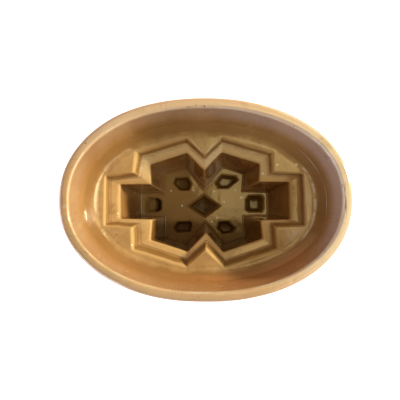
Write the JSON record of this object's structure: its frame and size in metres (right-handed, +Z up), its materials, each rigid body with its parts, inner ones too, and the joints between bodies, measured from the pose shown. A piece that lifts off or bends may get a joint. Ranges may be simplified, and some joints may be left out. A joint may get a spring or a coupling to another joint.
{
  "type": "ceramic food mould",
  "caption": "Oval glazed earthenware food mould: a deep bowl with a rounded lip, an inner ledge and a stepped star-shaped well that shapes puddings and jellies.",
  "frame": {"origin": "centre of the foot ring's resting plane", "axes": "+Z up through the mouth, +X along the long axis of the oval, +Y along its short axis"},
  "size_m": [0.2058, 0.1432, 0.096],
  "materials": {
    "fired_clay": "matte",
    "inside_glaze": "gloss",
    "outside_glaze": "gloss",
    "underside_glaze": "gloss"
  },
  "bodies": {
    "root": {"clay_body": "fired_clay", "inside_glaze": "inside_glaze", "outside_glaze": "outside_glaze", "underside_glaze": "underside_glaze"}
  },
  "joints": []
}
